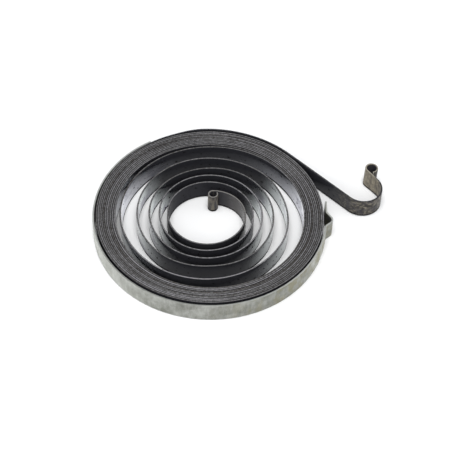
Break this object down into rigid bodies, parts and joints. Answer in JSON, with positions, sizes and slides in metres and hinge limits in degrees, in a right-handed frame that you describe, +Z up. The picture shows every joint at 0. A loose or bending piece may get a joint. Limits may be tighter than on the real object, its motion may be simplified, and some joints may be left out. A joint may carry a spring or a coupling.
{
  "type": "recoil starter spring",
  "caption": "Flat spiral spring wound on edge from dark steel strip, with a rolled eye at each end and a hooked tail, clipped in an open steel band; it rewinds a pull-cord starter.",
  "frame": {"origin": "on the winding axis of the coil, level with the lower edge of the strip, which the part lies on", "axes": "+Z up along the winding axis; +X from the axis to where the tail leaves the pack; the tail runs along -Y"},
  "size_m": [0.0781, 0.0643, 0.0058],
  "materials": {
    "spring_steel": "dark polished blued spring steel, brownish and mottled round the hook",
    "galvanised_sheet": "dull galvanised sheet with faint streaks and brown stains"
  },
  "bodies": {
    "root": {"spring_strip": "spring_steel", "retaining_band": "galvanised_sheet"}
  },
  "joints": []
}
